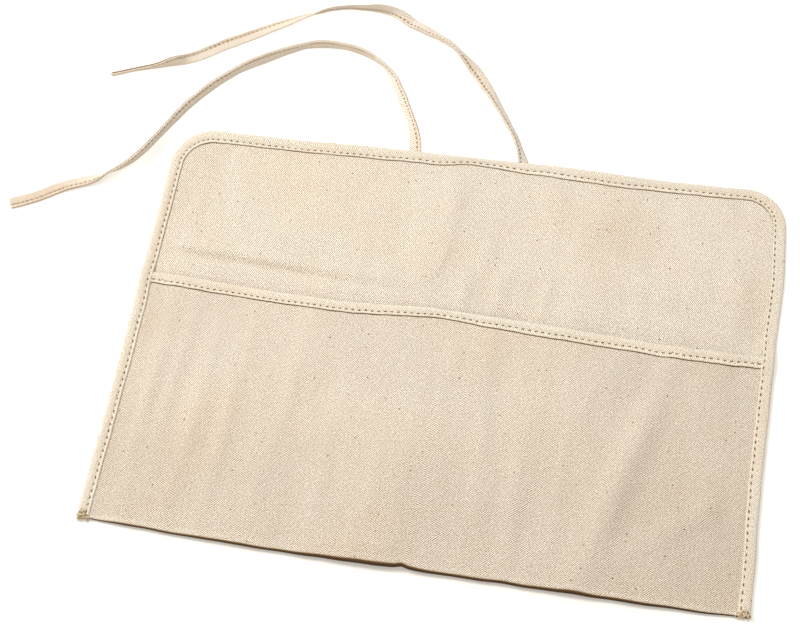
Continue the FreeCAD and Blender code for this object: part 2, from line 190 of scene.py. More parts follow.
def cotton(name, pale, deep, wale, ribs_share, yarns_share, seeds):
    """Woven unbleached cotton, pressed and unwashed: it scatters light softly and never shines.

    Its map is in metres along and across the cloth. The twill's diagonal ribs are wale mm apart, uneven
    yarns show as short streaks both ways, and bits of cotton seed as small dark flecks. The shares say how
    much of the step from the deep to the pale tone is the ribs' and the yarns'.
    """
    material, tree, shader = start_material(name, {
        "Roughness": 0.92, "Specular IOR Level": 0.2, "Sheen Weight": 0.08, "Sheen Roughness": 0.6})
    flat = add_node(tree, "UVMap", {"uv_map": "cloth"})
    # the ribs: a diagonal wave, which at a scale of 0.444 has one wave a metre, bent a little by uneven yarns
    bend = add_node(tree, "TexNoise", None, {"Vector": flat, "Scale": 0.045 / MM}, "Color")
    bent = add_node(tree, "VectorMath", {"operation": "MULTIPLY_ADD"}, {
        0: bend, 1: (4 * MM, 4 * MM, 0), 2: flat})
    ribs = add_node(tree, "TexWave", {"bands_direction": "DIAGONAL"}, {
        "Vector": bent, "Scale": 0.444 / (wale * MM), "Distortion": 2.6, "Detail": 2, "Detail Scale": 1})
    # uneven yarns: streaks about 0.5 mm thick and 1 mm long, along the warp and along the weft
    streaks = []
    for stretch in ((2.1 / MM, 1 / MM, 1), (1 / MM, 2.1 / MM, 1)):
        stretched = add_node(tree, "VectorMath", {"operation": "MULTIPLY"}, {0: flat, 1: stretch})
        streaks.append(add_node(tree, "TexNoise", {"noise_dimensions": "2D"}, {
            "Vector": stretched, "Scale": 1, "Detail": 1, "Roughness": 0.7}))
    yarns = add_node(tree, "Math", {"operation": "ADD"}, {0: streaks[0], 1: streaks[1]})
    # faint broad streaks of tone in the undyed cotton, about 13 mm wide and 70 mm long
    stretch = (0.075 / MM, 0.014 / MM, 1)
    stretched = add_node(tree, "VectorMath", {"operation": "MULTIPLY"}, {0: flat, 1: stretch})
    broad = add_node(tree, "TexNoise", {"noise_dimensions": "2D"}, {
        "Vector": stretched, "Scale": 1, "Detail": 3})
    least = 0.54 - ribs_share / 2 - yarns_share
    broad = add_node(tree, "MapRange", None, {"Value": broad, "To Min": least, "To Max": least + 0.18})
    tone = add_node(tree, "Math", {"operation": "MULTIPLY_ADD"}, {0: ribs, 1: ribs_share, 2: broad})
    tone = add_node(tree, "Math", {"operation": "MULTIPLY_ADD"}, {0: yarns, 1: yarns_share, 2: tone})
    colour = add_node(tree, "Mix", {"data_type": "RGBA"}, {0: tone, 6: linear(deep), 7: linear(pale)})
    # warmer patches about 90 mm across, where the cotton is browner
    warm = add_node(tree, "TexNoise", {"noise_dimensions": "2D"}, {
        "Vector": flat, "Scale": 0.011 / MM, "Detail": 2})
    warm = add_node(tree, "MapRange", None, {
        "Value": warm, "From Min": 0.45, "From Max": 0.75, "To Max": 0.35})
    colour = add_node(tree, "Mix", {"data_type": "RGBA", "blend_type": "MULTIPLY"}, {
        0: warm, 6: colour, 7: linear("#FFF2E4")})
    # seed flecks: a small dark spot in a few of the cells, which are 5 mm wide
    spot = add_node(tree, "TexVoronoi", {"voronoi_dimensions": "2D"}, {
        "Vector": flat, "Scale": 1 / (5 * MM)}, "Distance")
    near = add_node(tree, "Math", {"operation": "LESS_THAN"}, {0: spot, 1: 0.1})
    chance = add_node(tree, "SeparateColor", None, {0: spot.node.outputs["Color"]})
    picked = add_node(tree, "Math", {"operation": "LESS_THAN"}, {0: chance, 1: seeds})
    fleck = add_node(tree, "Math", {"operation": "MULTIPLY"}, {0: near, 1: picked})
    colour = add_node(tree, "Mix", {"data_type": "RGBA"}, {0: fleck, 6: colour, 7: linear("#8C6A45")})
    # painted shade from the shade attribute: a marked place first turns to the deep tone, then dark brown,
    # in needle holes and grooves, under folded edges and over some broad stretches of cloth and tape
    shade = add_node(tree, "Attribute", {"attribute_name": "shade"}, None, "Fac")
    shade_to_deep = add_node(tree, "Math", {"operation": "MULTIPLY", "use_clamp": True}, {0: shade, 1: 3})
    colour = add_node(tree, "Mix", {"data_type": "RGBA"}, {0: shade_to_deep, 6: colour, 7: linear(deep)})
    colour = add_node(tree, "Mix", {"data_type": "RGBA"}, {0: shade, 6: colour, 7: linear("#3E2A14")})
    tree.links.new(colour, shader.inputs["Base Color"])
    height = add_node(tree, "Math", {"operation": "MULTIPLY_ADD"}, {0: ribs, 1: 0.6, 2: yarns})
    bump = add_node(tree, "Bump", None, {"Strength": 0.5, "Distance": 0.3 * MM, "Height": height})
    tree.links.new(bump, shader.inputs["Normal"])
    return material


def add_piece(name, points, faces, material, flat=None, shade=None):
    """A smooth mesh from points in mm, with the cloth's flat map and its dark places if they are given."""
    mesh = bpy.data.meshes.new(name)
    points = np.asarray(points, float).reshape(-1, 3) * MM
    mesh.from_pydata(points.tolist(), [], [list(map(int, face)) for face in faces])
    mesh.polygons.foreach_set("use_smooth", [True] * len(mesh.polygons))
    if flat is not None:
        corners = np.empty(len(mesh.loops), int)
        mesh.loops.foreach_get("vertex_index", corners)
        flat = np.asarray(flat, float).reshape(-1, 2) * MM
        mesh.uv_layers.new(name="cloth").uv.foreach_set("vector", flat[corners].ravel())
    if shade is not None:
        mesh.attributes.new("shade", "FLOAT", "POINT").data.foreach_set("value", np.ravel(shade))
    mesh.materials.append(material)
    piece = bpy.data.objects.new(name, mesh)
    bpy.context.scene.collection.objects.link(piece)
    return piece


def tube_faces(rings, around, first=0):
    """The faces of a closed strip of that many rings with that many points each, with both ends."""
    faces = []
    for ring in range(rings - 1):
        for spot in range(around):
            a, b = first + ring * around + spot, first + ring * around + (spot + 1) % around
            faces.append((a, b, b + around, a + around))
    last = first + (rings - 1) * around
    faces.append(tuple(range(first + around - 1, first - 1, -1)))
    faces.append(tuple(range(last, last + around)))
    return faces


def points_at(places, at, line):
    """The points of a line at those distances along it."""
    return np.stack([np.interp(places, at, part) for part in line.T], axis=1)


def spaced(line, step):
    """The same line with its points about step apart, and how far along it each one is."""
    line = np.asarray(line, float)
    along = np.concatenate([[0], np.cumsum(np.linalg.norm(np.diff(line, axis=0), axis=1))])
    at = np.linspace(0, along[-1], int(along[-1] / step) + 1)
    return points_at(at, along, line), at


def unit(vectors):
    """The same directions, each 1 long."""
    return vectors / np.linalg.norm(vectors, axis=-1, keepdims=True)


def needle_holes(at, pitch):
    """How near each place along a row of stitches is to a needle hole, from 0 to 1."""
    off = abs((at + pitch / 2) % pitch - pitch / 2)
    return ease(1.05, 0.5, off)


def add_stitches(name, rows, material, width, height):
    """Lockstitches: each one is a short thread that rises from a needle hole and dives into the next.

    A row is its needle holes and, for each, the way up from the cloth.
    """
    around, steps = 6, 7
    points, faces, flat = [], [], []
    spots = math.tau * np.arange(around) / around
    for holes, ups in rows:
        for here, there, up in zip(holes[:-1], holes[1:], ups[:-1]):
            side = unit(np.cross(there - here, up))
            faces += tube_faces(steps, around, len(points))
            for share in np.linspace(0, 1, steps):
                arch = math.sin(math.pi * share) ** 0.5
                middle = here + (there - here) * (0.2 + 0.6 * share) + up * height * (1.1 * arch - 0.6)
                for spot in spots:
                    across, rise = math.cos(spot) * width / 2, math.sin(spot) * height / 2
                    points.append(middle + (side * across + up * rise) * (0.6 + 0.4 * arch))
                    flat.append((share * 4, spot))
    return add_piece(name, points, faces, material, flat)


def add_threads(name, threads, thickness, material):
    """Threads along their points, each with the thickness given, in mm."""
    around = 6
    points, faces, flat = [], [], []
    spots = math.tau * np.arange(around) / around
    for thread in threads:
        thread, along = spaced(thread, 0.4)
        ahead = unit(np.gradient(thread, axis=0))
        side = unit(np.cross(ahead, (0.02, 0.01, 1)))
        up = np.cross(side, ahead)
        faces += tube_faces(len(thread), around, len(points))
        taper = thickness / 2 * (0.55 + 0.45 * ease(0, 0.8, along[-1] - along))
        for middle, a, b, thick, far in zip(thread, side, up, taper, along):
            for spot in spots:
                points.append(middle + (a * math.cos(spot) + b * math.sin(spot)) * thick)
                flat.append((far, spot))
    return add_piece(name, points, faces, material, flat)


def cotton_thread(name, pale, deep, shade_spots=0):
    """Three-ply sewing thread, matt, with the slanting lines of its twist and, if asked for, dark spots of
    painted shade.
    """
    material, tree, shader = start_material(name, {
        "Roughness": 0.8, "Specular IOR Level": 0.3, "Sheen Weight": 0.1})
    flat = add_node(tree, "UVMap", {"uv_map": "cloth"})
    # a twist line about every mm, and spots about 1.5 mm apart
    twist = add_node(tree, "TexWave", {"bands_direction": "DIAGONAL"}, {
        "Vector": flat, "Scale": 0.42 / MM, "Distortion": 1})
    tone = add_node(tree, "Mix", {"data_type": "RGBA"}, {0: twist, 6: linear(deep), 7: linear(pale)})
    place = add_node(tree, "TexCoord", None, None, "Object")
    spots = add_node(tree, "TexNoise", None, {"Vector": place, "Scale": 0.65 / MM, "Detail": 1})
    spots = add_node(tree, "MapRange", None, {
        "Value": spots, "From Min": 0.46, "From Max": 0.58, "To Max": shade_spots})
    tone = add_node(tree, "Mix", {"data_type": "RGBA"}, {0: spots, 6: tone, 7: linear("#4A2E12")})
    tree.links.new(tone, shader.inputs["Base Color"])
    bump = add_node(tree, "Bump", None, {"Strength": 0.4, "Distance": 0.1 * MM, "Height": twist})
    tree.links.new(bump, shader.inputs["Normal"])
    return material


def tie_line(route):
    """The points, in mm, of the smooth line that a tie's route guides."""
    data = bpy.data.curves.new("tie_route", "CURVE")
    data.dimensions = "3D"
    data.resolution_u = 24
    spline = data.splines.new("NURBS")
    spline.points.add(len(route) - 1)
    for point, (x, y) in zip(spline.points, route):
        point.co = (x * MM, y * MM, TAPE_THICKNESS / 2 * MM, 1)
    spline.order_u = 3
    spline.use_endpoint_u = True
    guide = bpy.data.objects.new("tie_route", data)
    mesh = bpy.data.meshes.new_from_object(guide)
    line = np.array([vertex.co for vertex in mesh.vertices]) / MM
    bpy.data.objects.remove(guide)
    bpy.data.curves.remove(data)
    bpy.data.meshes.remove(mesh)
    return line


def strip_map(section, at, start):
    """The flat map of a closed strip: how far round its section, from start, and how far along it.

    Each strip has its own start, so that no two show the same flecks.
    """
    around = np.cumsum(np.concatenate([[0], np.linalg.norm(np.diff(section, axis=0), axis=1)]))
    return np.stack(np.broadcast_arrays(around[None, :] + start, at[:, None]), axis=-1)


def add_tie(side, route, lie, seed):
    """One tie tape with its row of stitches on both faces, and the yarns that fray out at its cut end."""
    line, at = spaced(tie_line(route), RING_STEP)
    places, *lying = np.array(lie, float).T
    turn, off_table, share = [smoothed(np.interp(at, places, values), 19) for values in lying]
    # where it lies free, its turn and its line waver a little
    free = ease(TIE_HIDDEN, TIE_HIDDEN + 25, at)
    turn = np.radians(turn + 2.5 * free * ripple(seed, 60, 15, at))
    line[:, 0] += 0.3 * free * ripple(seed + 1, 80, 18, at)
    line[:, 1] += 0.3 * free * ripple(seed + 2, 80, 18, at)
    section = np.array(TAPE_SECTION + tuple((a, -b) for a, b in TAPE_SECTION[-2:0:-1]))
    wide = TAPE_WIDTH / 2 * share * (1 + 0.03 * ripple(seed + 3, 50, 9, at))
    wide = wide[:, None] * section[None, :, 0]
    # the thread pulls the tape in a little at each needle hole, and the two plies part along their open edge
    hole = needle_holes(at, TAPE_PITCH)
    by_row = np.exp(-((section[:, 0] - TAPE_ROW) / 0.09) ** 2)
    parted = 1 + 0.7 * free[:, None] * ease(0.5, 0.9, section[None, :, 0])
    thick = TAPE_THICKNESS / 2 * section[None, :, 1] * parted * (1 - 0.4 * hole[:, None] * by_row[None, :])
    line[:, 2] = off_table - (np.sin(turn)[:, None] * wide + np.cos(turn)[:, None] * thick).min(axis=1)
    ahead = unit(np.gradient(line, axis=0))
    right = unit(np.cross(ahead, (0, 0, 1)))
    up = np.cross(right, ahead)
    across = right * np.cos(turn)[:, None] + up * np.sin(turn)[:, None]
    out = np.cross(across, ahead)
    points = line[:, None] + across[:, None] * wide[..., None] + out[:, None] * thick[..., None]
    # the far end is cut a little askew
    slant = ease(at[-1] - 6, at[-1], at)[:, None] * section[None, :, 0] * -0.4
    points += ahead[:, None] * slant[..., None]
    points[..., 2] = np.maximum(points[..., 2], 0.01)
    # painted shade: dark needle holes and, where the end stands on edge, a dark groove between the plies;
    # and painted shade that darkens the parts lying flat, which face the light, more so near the end
    groove = (section[:, 0] > 0.7) & (abs(section[:, 1]) < 0.2)
    uneven = np.clip(0.75 + 0.3 * ripple(seed + 4, 12, 5, at), 0.2, 1)
    near_end, steep = ease(at[-1] - 60, at[-1] - 35, at), abs(np.sin(turn))
    dark = np.maximum(0.9 * (uneven * hole)[:, None] * by_row[None, :],
                      (0.03 + 0.5 * near_end * ease(0.6, 0.9, steep))[:, None] * groove[None, :])
    shade = ((0.03 + 0.035 * near_end) * ease(0.9, 0.3, steep))[:, None] + dark
    flat = strip_map(section * (TAPE_WIDTH / 2, TAPE_THICKNESS / 2), at, 700 + 40 * seed)
    faces = tube_faces(len(line), len(section))
    tape = add_piece(f"tie_{side}_tape", points, faces, tape_cotton, flat, shade)
    rows = []
    every = np.arange(TAPE_PITCH, at[-1] - 3, TAPE_PITCH)
    inner_row = line + across * (TAPE_ROW * TAPE_WIDTH / 2 * share)[:, None]
    for face in (1, -1):
        on_row = inner_row + out * (face * 0.36 * TAPE_THICKNESS)
        rows.append((points_at(every, at, on_row), unit(points_at(every, at, face * out))))
    stitches = add_stitches(f"tie_{side}_stitching", rows, seam_thread, 0.45, 0.3)
    draw = np.random.default_rng(seed + 9)
    yarns = []
    for _ in range(22):
        place, lean = draw.uniform(-0.95, 0.95), draw.uniform(-0.5, 0.5)
        root = line[-3] + across[-3] * place * TAPE_WIDTH / 2 + out[-3] * draw.uniform(-0.4, 0.4)
        tip = root + ahead[-1] * draw.uniform(1.4, 3.2) + across[-1] * lean
        tip[2] = max(tip[2] - 0.3, 0.25)
        yarns.append((root, (root + tip) / 2 + across[-1] * lean * 0.3, tip))
    fray = add_threads(f"tie_{side}_fray", yarns, 0.28, seam_thread)
    for piece in (tape, stitches, fray):
        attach(piece, "pouch")
    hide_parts(f"tie_{side}")


# folded tape of fine unbleached cotton: pale cream, its twill drawn coarser than the real 0.7 mm
tape_cotton = cotton("unbleached cotton tape, folded and stitched", "#FFFFFA", "#B08644", 1.1, 1.3, 1.4, 0.01)
# undyed cotton thread, a little paler than the cloth
seam_thread = cotton_thread("undyed cotton sewing thread, three-ply", "#FAF1E0", "#D8C7A8")
add_tie("left", TIE_LEFT_ROUTE, TIE_LEFT_LIE, 1)
add_tie("right", TIE_RIGHT_ROUTE, TIE_RIGHT_LIE, 5)


# Canvas
# One cloth of unbleached cotton drill makes the flap, the back and the pocket: it is folded up at the bottom.
# Its inner face shows on the flap and its outer face on the pocket, so the twill slants the other way there.
# It lies nearly flat, with the soft folds and dents of cloth that has been rolled up.

HALF_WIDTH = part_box("flap_binding")[1].x / MM
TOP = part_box("flap_binding")[1].y / MM
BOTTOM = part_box("bottom_fold")[0].y / MM
CORNER_RADIUS = 28
# the cloth's thickness and that of the binding's ply under it, how far inside the binding's outer edge the
# cloth ends, and how much the ties behind it lift it
CLOTH = 0.6
PLY = 0.4
SEWN_IN = 1
TIE_LIFT = 1.35
# the cloth's grid: its columns, its rows on the flap, where it bends, on the back and round the bottom fold,
# and how low the back's last row is before it is moved to where the fold starts
COLUMNS = 205
FLAP_ROWS, BEND_ROWS, BACK_ROWS, FOLD_ROWS = 46, 24, 88, 11
FOLD_START = FLAP_ROWS + BEND_ROWS + BACK_ROWS
BACK_END = -140
# the pocket's top edge and the bottom fold's lowest line, from left to right
MOUTH_LINE = ((-215, 33.6), (-160, 30.4), (-100, 27.6), (-70, 26.8), (-12, 30), (12, 29.2), (50, 28),
              (100, 25.8), (160, 23.6), (215, 24.6))
BOTTOM_LINE = ((-215, -146.4), (-207, -146.9), (-150, -149.8), (-60, -151.2), (0, -151), (90, -151.1),
               (170, -151.2), (207, -150), (215, -149.8))
# soft folds and dents: middle, half length and half width, heading in degrees, and height
FLAP_FOLDS = (
    (-105, 84, 60, 22, 8, 1.2), (-198, 74, 17, 4, 58, 0.95), (182, 80, 20, 4.5, 140, 0.95),
    (165, 132, 30, 7, 160, 1.19), (-190, 135, 18, 8, 40, 0.95), (-140, 46.5, 90, 3.6, -3.5, -1.7),
    (-130, 52, 90, 5, -3.5, 2.0), (7, 44, 14, 4.5, 95, 1.43), (31, 50, 14, 5.5, 84, 1.3),
    (62, 46, 14, 5, 80, 1.19), (20, 74, 22, 7, 78, 0.9), (95, 110, 30, 16, 30, 1.19),
    (60, 120, 40, 10, 160, 0.71), (110, 60, 50, 9, 172, 0.95),
)
POCKET_FOLDS = (
    (128, -72, 78, 10, 75, 3.38), (100, -20, 40, 14, 60, 1.12), (90, -78, 60, 2.4, 90, 0.49),
    (171, -95, 55, 8, 39, 1.35), (-12, -92, 75, 34, 85, 3.15), (-189, -60, 70, 5, 88, 0.9),
    (-174, -50, 60, 4, 88, 0.68), (-154, -62, 75, 5, 88, 0.9), (-131, -70, 70, 5, 88, 0.9),
    (-95, -50, 70, 7, 86, 0.9), (-62, -80, 60, 6, 90, 0.78), (35, -40, 50, 5, 94, 0.78),
    (62, -90, 50, 6, 92, 0.78), (-30, -141, 9, 5, 0, 1.12), (-12, -138, 8, 5, 20, 0.9),
    (197, -128, 34, 26, 60, -1.8),
)


def smooth_line(places, x):
    """The height of a line through those places, with its corners softened over 12 mm."""
    places = np.array(places, float)
    return sum(np.interp(x + shift, places[:, 0], places[:, 1]) for shift in (-6, -3, 0, 3, 6)) / 5


def mouth_top(x):
    """How far up the pocket's mouth is."""
    return smooth_line(MOUTH_LINE, x)


def bottom_edge(x):
    """How far down the bottom fold is: a little uneven, and pinched in its middle."""
    pinch = 1.1 * np.exp(-(x / 3) ** 2) + 0.7 * np.exp(-(x / 10) ** 2)
    return smooth_line(BOTTOM_LINE, x) + 0.25 * ripple(21, 50, 14, x) + pinch


def pulled(points):
    """The points with the flap's right corner and the pocket's edges drawn in a little by their seams."""
    x, y = points[..., 0], points[..., 1]
    along = ease(60, 210, x) * ease(75, 135, y) * -2.6 + ease(-60, -215, x) * ease(70, -60, y) * 1.4
    along = along - 1.2 * ease(60, 210, x) * ease(85, 25, y) * ease(-115, -80, y)
    down = ease(56, 130, x) * ease(60, 140, y) * -1.5
    return points + np.stack([along, down, 0 * x], axis=-1)


def soft_folds(x, y, places):
    """The height of the soft folds and dents at those places, each a smooth oval hump or hollow."""
    total = 0
    for at_x, at_y, half_long, half_wide, heading, high in places:
        turn = math.radians(heading)
        along = (x - at_x) * math.cos(turn) + (y - at_y) * math.sin(turn)
        beside = (y - at_y) * math.cos(turn) - (x - at_x) * math.sin(turn)
        total = total + high * np.exp(-(along / half_long) ** 2 - (beside / half_wide) ** 2)
    return total


def back_middle(x, y):
    """The height of the middle of the back and flap, which lie on the binding and over the ties."""
    # flat under its bindings and at the bottom, and uneven inside them
    inside = ease(0, 22, HALF_WIDTH - 9 - abs(x)) * ease(0, 22, TOP - 10 - y) * ease(0, 30, y - BOTTOM)
    lift = TIE_LIFT * ease(140, 60, abs(x - 5)) * ease(-30, 6, y)
    relief = 0.45 * (1 + ripple(31, 150, 45, x, y))
    # the crease down the middle of the flap: a long slope on its left and a short one on its right
    crease = -8.5 - 10 * ease(85, 35, y)
    past = 0.6 * ease(6.5, 0, x - crease) + 0.4 * ease(45, 0, x - crease)
    slope = np.where(x < crease, ease(-48, 0, x - crease), past)
    relief = relief + 2 * slope * ease(38, 62, y) + soft_folds(x, y, FLAP_FOLDS)
    # above the pocket's mouth the cloth stands up a little, so that its folds have room
    relief = relief + 1.2 * ease(88, 58, y) * ease(26, 38, y)
    return PLY + CLOTH / 2 + lift + np.maximum(relief * inside, 0)


def front_middle(x, y):
    """The height of the middle of the pocket's cloth: sewn down at the sides and open at the mouth."""
    # how far it stands off the back: nothing at its sides, and more by the fold and by the mouth
    side = ease(0, 26, HALF_WIDTH - 9 - abs(x))
    up = y - bottom_edge(x)
    by_mouth = ease(26, 4, mouth_top(x) - y)
    open_by = 0.8 + np.exp(-(up / 40) ** 2) + 0.3 * by_mouth + 0.35 * ripple(41, 130, 40, x, y)
    # the bottom fold is a little uneven, and the right half hangs lower towards its corner
    open_by = open_by + 0.3 * ripple(42, 120, 40, x) * np.exp(-(up / 40) ** 2)
    open_by = open_by + soft_folds(x, y, POCKET_FOLDS)
    held = CLOTH + 0.05 + 0.3 * by_mouth
    return back_middle(x, y) + held + side * open_by


def half_width(y):
    """The cloth's half width, less at its rounded top corners."""
    past = np.clip(y - (TOP - CORNER_RADIUS), 0, None)
    round_part = np.sqrt(np.clip((CORNER_RADIUS - SEWN_IN) ** 2 - past ** 2, 0, None))
    return HALF_WIDTH - CORNER_RADIUS + round_part


def make_canvas():
    """The middle of the cloth as a grid of points, from the flap's edge down the back and up to the mouth."""
    columns = np.linspace(-1, 1, COLUMNS)
    rows = np.concatenate([np.linspace(TOP - SEWN_IN, 64, FLAP_ROWS), np.linspace(63.2, 45, BEND_ROWS),
                           np.linspace(43, BACK_END, BACK_ROWS)])
    x = columns[None, :] * half_width(rows)[:, None]
    low = x[-1]
    edge = bottom_edge(low) + CLOTH / 2
    # the fold is a half turn, about as deep as half the gap between the back and the front just above it
    gap = front_middle(low, edge + 3) - back_middle(low, edge + 3)
    turn_in = 0.3 + 0.5 * gap
    start = edge + turn_in
    # the last rows run to where the fold starts
    share = ease(-100, BACK_END, rows)[:, None]
    y = np.minimum(rows[:, None] + share * (start - BACK_END)[None, :], rows[:, None])
    back = np.stack([x, y, back_middle(x, y)], axis=-1)
    z_low, z_high = back_middle(low, start), front_middle(low, start)
    swell = (z_high - z_low) / 2
    fold = []
    for angle in np.radians(np.linspace(0, 180, FOLD_ROWS + 2)[1:-1]):
        y, z = start - turn_in * math.sin(angle), z_low + swell * (1 - math.cos(angle))
        fold.append(np.stack([low, y, z], axis=-1))
    upper = np.concatenate([np.linspace(0, 0.06, 7), np.linspace(0.075, 1, 84)])[:, None]
    y = start + (mouth_top(low) - SEWN_IN - start) * upper
    x = np.broadcast_to(low[None, :], y.shape)
    front = np.stack([x, y, front_middle(x, y)], axis=-1)
    return np.concatenate([back, np.array(fold), front])


def add_canvas():
    """The cloth with both its faces and its cut edges."""
    middle = make_canvas()
    along, across = np.gradient(middle, axis=0), np.gradient(middle, axis=1)
    out = unit(np.cross(along, across))
    steps = np.linalg.norm(np.diff(middle[:, COLUMNS // 2], axis=0), axis=-1)
    down = np.concatenate([[0], np.cumsum(steps)])[:, None]
    flat = np.stack(np.broadcast_arrays(middle[..., 0], -down), axis=-1)
    upper, lower = pulled(middle + out * CLOTH / 2), pulled(middle - out * CLOTH / 2)
    tall, wide = middle.shape[:2]
    number = np.arange(tall * wide).reshape(tall, wide)
    quads = np.stack([number[:-1, :-1], number[1:, :-1], number[1:, 1:], number[:-1, 1:]], axis=-1)
    quads = quads.reshape(-1, 4)
    rim = np.concatenate([number[0, :-1], number[:-1, -1], number[-1, :0:-1], number[:0:-1, 0]])
    after, below = np.roll(rim, -1), tall * wide
    sides = np.stack([rim, after, after + below, rim + below], axis=-1)
    faces = np.concatenate([quads, quads[:, ::-1] + below, sides])
    # painted shade darkens the whole cloth along its left edge. The pocket's face is a little darker all
    # over, and painted shade darkens it more towards its bottom, its right side and its left edge. Its fold
    # has a painted shadow below, which fades as it comes round to the front
    shade = np.zeros((2, tall, wide)) + 0.014 * ease(-165, -200, middle[..., 0])
    x, y = middle[FOLD_START:, :, 0], middle[FOLD_START:, :, 1]
    pocket_tone_and_shade = 0.014 + 0.022 * ease(-40, -110, y) + 0.016 * ease(60, 140, x) + 0.015 * ease(-165, -200, x)
    shade[:, FOLD_START:] = pocket_tone_and_shade
    fading_fold_shadow = np.array((0.9, 0.5, 0.12, 0.04, 0.02))[:, None] * (0.4 + 0.6 * ease(-210, -20, x[:1]))
    pale_from = FOLD_START + 8
    shade[:, FOLD_START:pale_from] = 1
    shade[:, pale_from:pale_from + len(fading_fold_shadow)] = fading_fold_shadow
    return add_piece("canvas", np.concatenate([upper.reshape(-1, 3), lower.reshape(-1, 3)]), faces,
                     drill, np.concatenate([flat.reshape(-1, 2)] * 2), shade)


# heavy unbleached cotton drill, straight from the roll: warm cream with a low diagonal rib and no shine
drill = cotton("unbleached cotton drill, twill woven", "#FFF8E9", "#7C5828", 1.0, 1.5, 1.55, 0.03)
canvas = add_canvas()
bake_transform(canvas)
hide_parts("back_panel", "bottom_fold", "pocket_front", "flap_panel")


# Edge binding
# A strip of the same drill, folded double over the cloth's edge and sewn through once, close to its inner
# fold. It runs up the left side, round the flap and down the right side, and its raw ends are at the bottom.

# how high the mouth's strip stands on its cloth, how far apart stitches are, and where this strip's ends are
STRIP = 0.45
EDGE_PITCH = 4.7
BOTTOM_END = -147.3
# along the strip: its width, and how far its stitches are from its inner fold
EDGE_WIDTHS = (
    (0, 8.3), (85, 8.3), (150, 8.9), (262, 8.6), (285, 9.6), (305, 10.1), (335, 9.7), (420, 9.7),
    (474, 8.9), (494, 6.2), (508, 6.4), (530, 8.4), (561, 9.8), (591, 10.1), (621, 9), (650, 8.8),
    (700, 8.2), (1005, 7.4),
)
EDGE_ROWS = (
    (0, 2.1), (270, 2.1), (300, 2.6), (335, 2.2), (372, 1.8), (420, 1.9), (460, 2.2), (494, 1.7), (522, 2.2),
    (561, 3), (591, 2.5), (621, 2.6), (650, 2.5), (690, 2.1), (740, 1.2), (1005, 1.5),
)
# along the strip: how dark the painted shadow is on the cloth under its inner fold
EDGE_FOLD_SHADOW = ((0, 0), (175, 0), (205, 0.1), (265, 0.1), (300, 0.34), (700, 0.34), (740, 0.04), (1005, 0.04))


def edge_outline(at):
    """Points on the strip's outer edge at those distances along it, and the way in from each."""
    side = TOP - CORNER_RADIUS - BOTTOM_END
    quarter = CORNER_RADIUS * math.pi / 2
    top = 2 * (HALF_WIDTH - CORNER_RADIUS)
    x, y = np.full(at.shape, -HALF_WIDTH), BOTTOM_END + at
    way = np.zeros(at.shape)
    first, second = at - side, at - side - quarter - top
    for run, middle, towards in ((first, -1, 0), (second, 1, 90)):
        angle = np.radians(180 - towards) - np.clip(run, 0, quarter) / CORNER_RADIUS
        on = (run > 0) & (run <= quarter)
        x = np.where(on, middle * (HALF_WIDTH - CORNER_RADIUS) + CORNER_RADIUS * np.cos(angle), x)
        y = np.where(on, TOP - CORNER_RADIUS + CORNER_RADIUS * np.sin(angle), y)
        way = np.where(run > 0, np.radians(-towards) - np.clip(run, 0, quarter) / CORNER_RADIUS, way)
    on = (first > quarter) & (second <= 0)
    x = np.where(on, -HALF_WIDTH + CORNER_RADIUS + first - quarter, x)
    y = np.where(on, TOP, y)
    on = second > quarter
    x = np.where(on, HALF_WIDTH, x)
    y = np.where(on, TOP - CORNER_RADIUS - (second - quarter), y)
    return np.stack([x, y], axis=-1), np.stack([np.cos(way), np.sin(way)], axis=-1)


def top_of_cloth(x, y):
    """The height of what the strip's upper ply lies on: the flap, or the pocket and its bound mouth."""
    mouth = mouth_top(x)
    flap = back_middle(x, y)
    pocket = front_middle(x, np.minimum(y, mouth)) + STRIP * ease(mouth - 10, mouth - 8, y)
    return CLOTH / 2 + flap + (pocket - flap) * ease(mouth + 9, mouth - 3, y)


def upper_half(width, row, pull, fold_shadow, outer):
    """The upper half of a folded strip's section, from its inner fold to its outer one.

    Each of its lines is how far in, how high above the cloth and how dark. The thread pulls the strip down
    at its row of stitches, more at a needle hole, where painted shade darkens it. A painted shadow darkens
    the cloth under the inner fold and a thin lip of the strip that reaches 0.5 mm past the fold onto the
    cloth, and painted shade makes the strip a little browner and darker outside the row.
    """
    level = 0 * pull
    dent = 0.16 + 0.2 * pull
    return (
        (width - 0.8, 0.02 + level, fold_shadow), (width + 0.5, 0.02 + level, 0.7 * fold_shadow),
        (width + 0.06, 0.08 + level, fold_shadow), (width, 0.3 + level, 0.6 * fold_shadow),
        (width - 0.2, 0.56 + level, 0.1 * fold_shadow), (width - 0.6, 0.66 + level, 0),
        (width - row + 0.5, 0.64 - dent * 0.5, 0), (width - row + 0.28, 0.62 - dent, 0.8 * pull),
        (width - row, 0.6 - dent - 0.08, pull), (width - row - 0.28, 0.62 - dent, 0.8 * pull),
        (width - row - 0.5, 0.66 - dent * 0.5, outer), (width - row - 1.2, 0.72 - 0.04 * pull, outer),
        ((width - row - 1.2) * 0.7, 0.74 + level, 0.7 * outer), (2.2 + level, 0.68 + level, 0.35 * outer),
        (1.1 + level, 0.52 + level, 0.15 * outer), (0.45 + level, 0.22 + level, 0),
    )


def lower_half(width, row, pull, by_edge, at_row):
    """The lower half from the outer fold to the inner one: how far in, how deep under the cloth, how dark."""
    # painted shade in the needle holes on the underside
    level = 0 * pull
    return (
        (0.45 + level, by_edge, 0), (1.1 + level, 0.36, 0), (width / 2, 0.38, 0),
        (width - row - 0.5, 0.38, 0), (width - row, at_row, 0.9 * pull), (width - row + 0.5, 0.38, 0),
        (width - 0.3, 0.38, 0), (width, 0.2, 0), (width - 0.3, 0, 0), (1.2 + level, 0, 0),
    )


